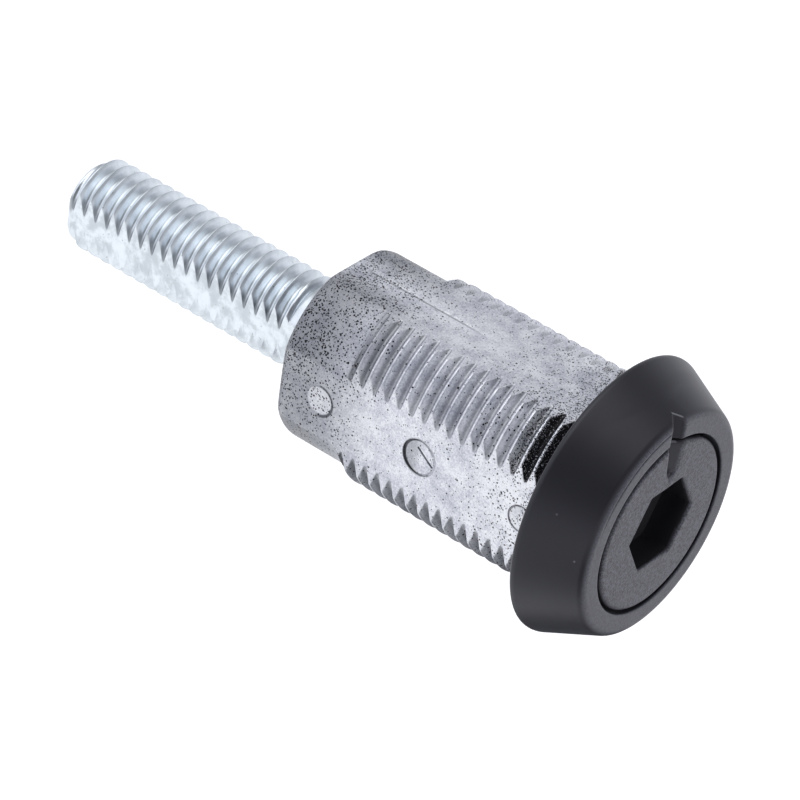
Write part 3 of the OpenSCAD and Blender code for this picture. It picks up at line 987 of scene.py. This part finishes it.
def zinc_skin(tree, where):
    """Cast skin: cloudy flow marks with a fine sparkling grain, and painted light that pales the left flat
    near the bezel. Returns its colour, clouds and height.
    """
    clouds = noise(tree, where, *ZINC_CLOUDS)
    patches = noise(tree, where, *ZINC_PATCHES)
    grain = noise(tree, where, *ZINC_GRAIN)
    x, y, _ = places(tree, where)
    # painted light: the left flat near the bezel is made paler
    painted_light_patch = product(tree, step_map(tree, y, *ZINC_PAINTED_LIGHT_Y), step_map(tree, x, *ZINC_PAINTED_LIGHT_X))
    tone = plus(tree, product(tree, patches, 0.28), (clouds, 0.32), (grain, 0.4), (painted_light_patch, 0.05))
    colours = node(tree, "ValToRGB", {0: tone})
    stops = colours.node.color_ramp.elements
    for stop, place, colour in zip(stops, ZINC_TONES, (ZINC_DARK, ZINC_LIGHT)):
        stop.position, stop.color = place, colour
    height = plus(tree, product(tree, patches, 0.55), (grain, 0.45))
    return colours, clouds, height


# Overspray on the barrel, from coating the bezel

OVERSPRAY = (0.008, 0.008, 0.010, 1)
SPRAY_PATCHES = (2.4, 3.0, 0.6)
SPRAY_PATCHY = (0.3, 0.7, 0.55, 1.25)
TAIL_Y = (18.5, 30.0)
UPPER_TAIL_Y = (22.5, 28.0)
UPPER_TAIL_Z = (1.0, 6.0)
BESIDE_BEZEL_Y = (7.0, 0.5)
TOP_Z = (6.0, 9.0)
TOP_MIST_Y = (15.0, 1.0)
TOP_FRONT_Y = (6.0, 1.0)
MIST_CELL = 0.16
MIST_R = (0.045, 0.085)
DROPS_Y = (15.0, 3.0)
DROPS_Z = (-7.0, 7.0)
DROP_CELL = 0.25
DROP_R = (0.06, 0.115)
BLOT_CELL = 0.62
BLOT_SHARE = 0.15
BLOT_R = (0.11, 0.17)
GROOVE_Y = (9.0, 2.6)
GROOVE_R = (10.98, 10.8)
GROOVE_EDGE = (0.14, 2.0, 0.6)
SOLID_FROM = (0.92, 1.0)
SOLID_Z = (-1.0, 3.0)
HAZE_X = (0.3, 3.7, 0.04, 0.55)


def spray_specks(tree, where):
    """Mist beside the bezel, on the top and on the upper tail, drops towards both ends, and a few blots."""
    _, y, z = places(tree, where)
    patchy = step_map(tree, noise(tree, where, *SPRAY_PATCHES), *SPRAY_PATCHY)
    on_top = step_map(tree, z, *TOP_Z)
    upper_tail = product(tree, step_map(tree, y, *UPPER_TAIL_Y), step_map(tree, z, *UPPER_TAIL_Z))
    top_mist = product(tree, step_map(tree, y, *TOP_MIST_Y), on_top)
    top_front = product(tree, step_map(tree, y, *TOP_FRONT_Y), on_top)
    share = product(tree, step_map(tree, y, *BESIDE_BEZEL_Y), 0.42)
    share = plus(tree, share, (upper_tail, 0.22), (top_mist, 0.26), (top_front, 0.4))
    mist = specks(tree, where, MIST_CELL, product(tree, calc(tree, "ADD", share, 0.05), patchy), MIST_R)

    tail = product(tree, step_map(tree, y, *TAIL_Y), plus(tree, 0.4, (step_map(tree, z, *DROPS_Z), 0.45)))
    share = plus(tree, 0.03, (tail, 0.95), (step_map(tree, y, *DROPS_Y), 0.2))
    drops = specks(tree, where, DROP_CELL, product(tree, share, patchy), DROP_R)
    blots = specks(tree, where, BLOT_CELL, product(tree, upper_tail, patchy, BLOT_SHARE), BLOT_R)
    return largest(tree, mist, drops, blots)


def spray_solid(tree, where):
    """Solid paint with a ragged end, in the thread's grooves beside the bezel."""
    x, y, z = places(tree, where)
    radius = distance(tree, x, z, AXIS)
    groove = product(tree, step_map(tree, y, *GROOVE_Y), step_map(tree, radius, *GROOVE_R))
    edge = calc(tree, "ADD", noise(tree, where, *GROOVE_EDGE), product(tree, groove, 0.59))
    ragged = step_map(tree, edge, *SOLID_FROM)
    return product(tree, ragged, off_flats(tree, x, z), step_map(tree, z, *SOLID_Z))


def spray_haze(tree, where):
    """Grey haze on the tail, thin along the middles of the upper and lower flats."""
    x, y, z = places(tree, where)
    aside = step_map(tree, calc(tree, "ABSOLUTE", x), *HAZE_X)
    return product(tree, step_map(tree, y, *TAIL_Y), plus(tree, aside, (off_flats(tree, x, z), 0.19)))


# Marks on the barrel, and painted shade round them, in the parting line and in the thread's roots

ZINC_FRESH = (0.90, 0.90, 0.92, 1)
DIRT_AND_SHADE = (0.10, 0.105, 0.12, 1)
LEFT_FLAT_X = (-9.0, -9.1)
FRESH_R = (1.55, 1.35)
# Painted shade on the front edge of the rear mark
REAR_SHADE_IN = (1.4, 1.6)
REAR_SHADE_OUT = (1.85, 1.7)
REAR_SHADE_Y = (REAR_MARK[0] + 0.6, REAR_MARK[0] - 0.8)
# Painted shade in the middle mark's ring groove, darker towards the tail
RING_SHADE_IN = (1.7, 1.82)
RING_SHADE_OUT = (2.14, 2.0)
RING_SHADE_Y = (MIDDLE_MARK[0] - 1.0, MIDDLE_MARK[0] + 1.2, 0.05, 0.75)
# Painted shade in the crease of the parting line
SEAM_SHADE_X = (0.16, 0.05)
SEAM_SHADE_Z = (9.0, 9.2)
SEAM_SHADE_START = (13.0, 20.0)
SEAM_SHADE_END = (30.5, 29.0)
# Painted shade in the thread's roots
ROOT_SHADE_R = (10.75, 10.3)
ROOT_SHADE_Y = (THREAD_END + 0.3, THREAD_END - 0.6)


def fresh_and_mark_shade(tree, where):
    """Fresh metal in the rear mark, and painted shade on its front edge, in the middle mark's ring groove and
    in the parting line's crease.
    """
    x, y, z = places(tree, where)
    on_flat = step_map(tree, x, *LEFT_FLAT_X)
    off_rear, off_middle = distance(tree, y, z, REAR_MARK), distance(tree, y, z, MIDDLE_MARK)
    fresh = product(tree, on_flat, step_map(tree, off_rear, *FRESH_R))
    # painted shade on the rear mark's front edge
    rim = product(tree, on_flat, step_map(tree, off_rear, *REAR_SHADE_IN),
                  step_map(tree, off_rear, *REAR_SHADE_OUT), step_map(tree, y, *REAR_SHADE_Y))
    # painted shade in the middle mark's ring groove
    ring = product(tree, on_flat, step_map(tree, off_middle, *RING_SHADE_IN),
                   step_map(tree, off_middle, *RING_SHADE_OUT), step_map(tree, y, *RING_SHADE_Y))
    # painted shade in the parting line's crease
    seam_line = product(tree, step_map(tree, calc(tree, "ABSOLUTE", x), *SEAM_SHADE_X),
                        step_map(tree, z, *SEAM_SHADE_Z), step_map(tree, y, *SEAM_SHADE_START),
                        step_map(tree, y, *SEAM_SHADE_END))
    return fresh, largest(tree, rim, product(tree, seam_line, 0.95), ring)


def root_shade(tree, where):
    """Painted shade at the bottom of the thread's grooves."""
    x, y, z = places(tree, where)
    radius = distance(tree, x, z, AXIS)
    return product(tree, off_flats(tree, x, z), step_map(tree, radius, *ROOT_SHADE_R),
                   step_map(tree, y, *ROOT_SHADE_Y))


def cast_zinc():
    """Cast skin with marks, grey haze and painted shade, under overspray."""
    made, tree, shader = material("cast_zinc")
    where = object_place(tree)
    skin, clouds, height = zinc_skin(tree, where)
    paint = largest(tree, spray_specks(tree, where), spray_solid(tree, where))
    fresh, mark_shade = fresh_and_mark_shade(tree, where)
    # the haze is overspray; the darkening at the marks, the crease and the roots is painted shade
    dirt_and_shade = plus(tree, spray_haze(tree, where), (mark_shade, 0.7))
    dirt_and_shade = calc(tree, "MULTIPLY_ADD", root_shade(tree, where), 0.42, dirt_and_shade, clamp=True)
    dirt_and_shade = product(tree, dirt_and_shade, plus(tree, 1.0, (fresh, -0.8)))
    colour = mix(tree, product(tree, fresh, 0.45), skin, ZINC_FRESH)
    colour = mix(tree, dirt_and_shade, colour, DIRT_AND_SHADE)
    fill(tree, shader, {
        "Base Color": mix(tree, paint, colour, OVERSPRAY),
        "Metallic": plus(tree, 0.65, (paint, -0.65)),
        "Roughness": plus(tree, 0.34, (clouds, 0.2)),
        "Specular IOR Level": plus(tree, 0.5, (paint, -0.35)),
    })
    bump(tree, shader, height, 0.05, 0.8)
    return made


# Plated steel of the shaft and the small pieces inside

BRIGHT_DARK = (0.655, 0.71, 0.757, 1)
BRIGHT_LIGHT = (0.83, 0.885, 0.932, 1)
BRIGHT_ROUGH = 0.26
WIRE_DARK = (0.30, 0.31, 0.33, 1)
WIRE_LIGHT = (0.44, 0.45, 0.47, 1)
WIRE_ROUGH = 0.28
STAIN_AND_SHADE = (0.16, 0.18, 0.2, 1)
PLATING_CLOUDS = (1.6, 4.0, 0.6)
PLATING_GRAIN = (0.25, 2.0, 0.5)
PLATING_TONES = (0.3, 0.7)
PIT_CELL = 0.5
PIT_SHARE = 0.12
PIT_R = (0.05, 0.1)
# Painted shade on the upper side, where the shaft's thread runs out into its flats
RUN_OUT_SHADE_IN = (3.4, 3.85)
RUN_OUT_SHADE_OUT = (SHAFT_FLAT, SHAFT_FLAT - 0.04)
RUN_OUT_SHADE_R = (SHAFT_R - 0.15, SHAFT_ROOT_R + 0.2)
RUN_OUT_SHADE_Y = (SHAFT_THREAD_Y, SHAFT_THREAD_Y + 0.5)
RUN_OUT_SHADE_Z = (0.0, 0.8)
SMUDGE_X = (SHAFT_FLAT - 0.1, SHAFT_FLAT - 0.03)
SMUDGE_CLOUDS = (0.58, 0.42)


def shaft_stain_and_shade(tree, where, cloud):
    """Pits, painted shade on the upper side where the shaft's thread runs out into its flats, and smudges on
    the flats.
    """
    x, y, z = places(tree, where)
    across, radius = calc(tree, "ABSOLUTE", x), distance(tree, x, z, AXIS)
    pits = specks(tree, where, PIT_CELL, PIT_SHARE, PIT_R)
    # painted shade where the thread runs out into the flats
    run_out = product(tree, step_map(tree, across, *RUN_OUT_SHADE_IN), step_map(tree, across, *RUN_OUT_SHADE_OUT),
                      step_map(tree, radius, *RUN_OUT_SHADE_R), step_map(tree, y, *RUN_OUT_SHADE_Y),
                      step_map(tree, z, *RUN_OUT_SHADE_Z))
    smudge = product(tree, step_map(tree, across, *SMUDGE_X), step_map(tree, cloud, *SMUDGE_CLOUDS))
    return largest(tree, product(tree, pits, 0.5), product(tree, run_out, 0.75), product(tree, smudge, 0.18))


def plated(name, dark, light, rough):
    """Plated steel with a cloudy, stained skin and painted shade."""
    made, tree, shader = material(name)
    where = object_place(tree)
    cloud = noise(tree, where, *PLATING_CLOUDS)
    grain = noise(tree, where, *PLATING_GRAIN)
    skin = mix(tree, step_map(tree, cloud, *PLATING_TONES), dark, light)
    fill(tree, shader, {
        "Base Color": mix(tree, shaft_stain_and_shade(tree, where, cloud), skin, STAIN_AND_SHADE),
        "Metallic": 0.95,
        "Roughness": plus(tree, rough, (cloud, 0.2)),
    })
    bump(tree, shader, plus(tree, cloud, (grain, 0.3)), 0.05, 0.5)
    return made


# Rubber of the seal ring

RUBBER_DARK = (0.012, 0.012, 0.012, 1)
RUBBER_LIGHT = (0.03, 0.03, 0.03, 1)
RUBBER_GRAIN = (0.3, 3.0, 0.5)


def rubber():
    """Dull black rubber with a fine grain."""
    made, tree, shader = material("seal_rubber")
    grain = noise(tree, object_place(tree), *RUBBER_GRAIN)
    fill(tree, shader, {"Base Color": mix(tree, grain, RUBBER_DARK, RUBBER_LIGHT), "Roughness": 0.65})
    bump(tree, shader, grain, 0.02, 0.4)
    return made


# Which faces have which material

PAINT_END_Y = 0.01
PAINT_FROM_R = BORE_R + 0.3
SOCKET_REACH = 4.9
SOCKET_FROM = 0.3
GAP_R = DISC_R - 0.15
GAP_FROM = 0.18

coat, zinc, socket = black_coat(), cast_zinc(), socket_and_gap_shade()
bright = plated("bright_zinc_plating", BRIGHT_DARK, BRIGHT_LIGHT, BRIGHT_ROUGH)
wire = plated("spring_wire", WIRE_DARK, WIRE_LIGHT, WIRE_ROUGH)
seal = rubber()


def finish_with(obj, *finishes):
    """Gives an object its materials in place of any it has."""
    obj.data.materials.clear()
    for finish in finishes:
        obj.data.materials.append(finish)


def split_faces(obj, second):
    """Gives the second material to the faces that a test of radius and place along the axis picks."""
    for face in obj.data.polygons:
        c = face.center
        face.material_index = 1 if second(math.hypot(c.x, c.z) / MM, c.y / MM) else 0


def on_bezel(r, y):
    return r > PAINT_FROM_R and y < PAINT_END_Y


def in_shade(r, y):
    """In the socket, or in the gap round the disc."""
    depth = y - FRONT_Y
    return (r < SOCKET_REACH and depth > SOCKET_FROM) or (r > GAP_R and depth > GAP_FROM)


finish_with(housing, zinc, coat)
split_faces(housing, on_bezel)
finish_with(driver, coat, socket)
# the walls of the socket and of the gap get the dull dark finish, as painted shade
split_faces(driver, in_shade)
finish_with(shaft, bright)
finish_with(spring, wire)
for name, finish in (("seal_ring", seal), ("snap_ring", wire), ("guide_bush", bright), ("cross_pin", wire)):
    finish_with(nodes[name], finish)

for obj, body, replaced, slot in (
        (housing, "casing", "housing", "cast_zinc"),
        (driver, "drive", "driver", "black_paint"),
        (shaft, "plunger", "shaft", "plated_steel"),
        (spring, "drive", "return_spring", "spring_steel")):
    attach(obj, body)
    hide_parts(replaced)
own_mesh(spring)


# Stage, light and camera, in metres

WHITE = (1, 1, 1, 1)
FLOOR_GREY = (0.8, 0.8, 0.8, 1)
FLOOR_R = 3.0
FLOOR_Z = -0.09
FLOOR_GLOW = 0.5
CARD_GREY = (0.06, 0.06, 0.065, 1)
# Cards as name, place, size and the way they face
CARDS = (
    ("card_below", (0.002, 0.003, -0.03), (0.028, 0.034), (0, 0, 1)),
    ("card_front", (-0.062, -0.06, -0.058), (0.07, 0.07), (0.62, 0.53, 0.576)),
)
LIGHT = (0.95, 0.965, 1.03, 1)
CEILING = (0.1, 0.75, 1.0, 0.25)
SOFTBOX_AT = (-0.70, 0.45, 0.55)
SOFTBOX_EDGES = (58, 34)
SOFTBOX_LEVEL = 1.15
FLAG_AT = (-0.68, -0.456, 0.576)
FLAG_EDGES = (36, 16)
FLAG_LEVEL = 0.03
KEY_AT = (0.0, 0.05, 0.7)
KEY_AIM = (0, 0.02, 0)
KEY_SIZE = 0.7
KEY_POWER = 2.0
CAMERA_AT = (-0.2808, -0.1641, 0.2352)
CAMERA_BACK = (-0.6794, -0.4560, 0.5756)
CAMERA_UP = (0.3853, 0.4450, 0.8078)
CAMERA_LENS = 193.2
CAMERA_SENSOR = 36
CAMERA_CLIP = (0.01, 20)

scene = bpy.context.scene
scene.view_settings.view_transform = "Standard"


def seen_ray(tree):
    """1 for what the camera, a reflection or a clear piece sees of the background."""
    path = node(tree, "LightPath")
    seen = [path.node.outputs[k] for k in ("Is Camera Ray", "Is Glossy Ray", "Is Transmission Ray")]
    return largest(tree, *seen)


def floor():
    """A white floor, well below the part. Its glow for seen rays only makes up what it lacks to white."""
    bm = bmesh.new()
    bmesh.ops.create_circle(bm, cap_ends=True, radius=FLOOR_R, segments=64)
    obj = add_object("floor", bm)
    obj.location.z = FLOOR_Z
    made, tree, shader = material("floor_white")
    fill(tree, shader, {
        "Base Color": FLOOR_GREY,
        "Roughness": 0.9,
        "Specular IOR Level": 0.0,
        "Emission Color": WHITE,
        "Emission Strength": product(tree, seen_ray(tree), FLOOR_GLOW),
    })
    obj.data.materials.append(made)


def card(name, place, size, facing):
    """A dark card that the camera doesn't see, for the shade that a thread or an edge reflects."""
    bm = bmesh.new()
    turn = Vector(facing).to_track_quat("Z", "Y").to_matrix().to_4x4()
    matrix = Matrix.Translation(place) @ turn @ Matrix.Diagonal((*size, 1, 1))
    bmesh.ops.create_grid(bm, x_segments=1, y_segments=1, size=0.5, matrix=matrix)
    obj = add_object(name, bm)
    made, tree, shader = material(name + "_grey")
    fill(tree, shader, {"Base Color": CARD_GREY, "Roughness": 0.9})
    obj.data.materials.append(made)
    obj.visible_camera = obj.visible_shadow = False


def around(tree, direction, place, edges, outside, inside):
    """A round patch of the sky, by the angles at which it starts and is full."""
    towards = node(tree, "VectorMath", {0: direction, 1: place}, out=1, operation="DOT_PRODUCT")
    return step_map(tree, towards, cos_d(edges[0]), cos_d(edges[1]), outside, inside)


def world():
    """A white studio with a dim ceiling, a soft box behind on the left and a black flag around the camera."""
    made = bpy.data.worlds.new("studio")
    made.use_nodes = True
    scene.world = made
    tree = made.node_tree
    direction = node(tree, "TexCoord")
    height = node(tree, "SeparateXYZ", {0: direction}, out=2)
    ceiling = step_map(tree, height, *CEILING)
    softbox = around(tree, direction, SOFTBOX_AT, SOFTBOX_EDGES, 0.0, SOFTBOX_LEVEL)
    flag = around(tree, direction, FLAG_AT, FLAG_EDGES, 1.0, FLAG_LEVEL)
    camera_ray = node(tree, "LightPath")
    fill(tree, tree.nodes["Background"], {
        "Color": mix(tree, camera_ray, LIGHT, WHITE),
        "Strength": largest(tree, product(tree, largest(tree, ceiling, softbox), flag), camera_ray),
    })


def lamp(name, place, aim, size, power):
    """A round lamp that points at a place."""
    data = bpy.data.lights.new(name, "AREA")
    data.shape, data.size, data.energy = "DISK", size, power
    obj = bpy.data.objects.new(name, data)
    obj.location = place
    obj.rotation_euler = (Vector(aim) - Vector(place)).to_track_quat("-Z", "Y").to_euler()
    scene.collection.objects.link(obj)


def camera():
    """The camera that was fitted to the photo."""
    data = bpy.data.cameras.new("camera")
    data.lens, data.sensor_width = CAMERA_LENS, CAMERA_SENSOR
    data.clip_start, data.clip_end = CAMERA_CLIP
    obj = bpy.data.objects.new("camera", data)
    back = Vector(CAMERA_BACK).normalized()
    right = Vector(CAMERA_UP).cross(back).normalized()
    up = back.cross(right)
    turn = Matrix((right, up, back)).transposed().to_4x4()
    obj.matrix_world = Matrix.Translation(CAMERA_AT) @ turn
    scene.collection.objects.link(obj)
    scene.camera = obj


floor()
for settings in CARDS:
    card(*settings)
world()
lamp("key", KEY_AT, KEY_AIM, KEY_SIZE, KEY_POWER)
camera()
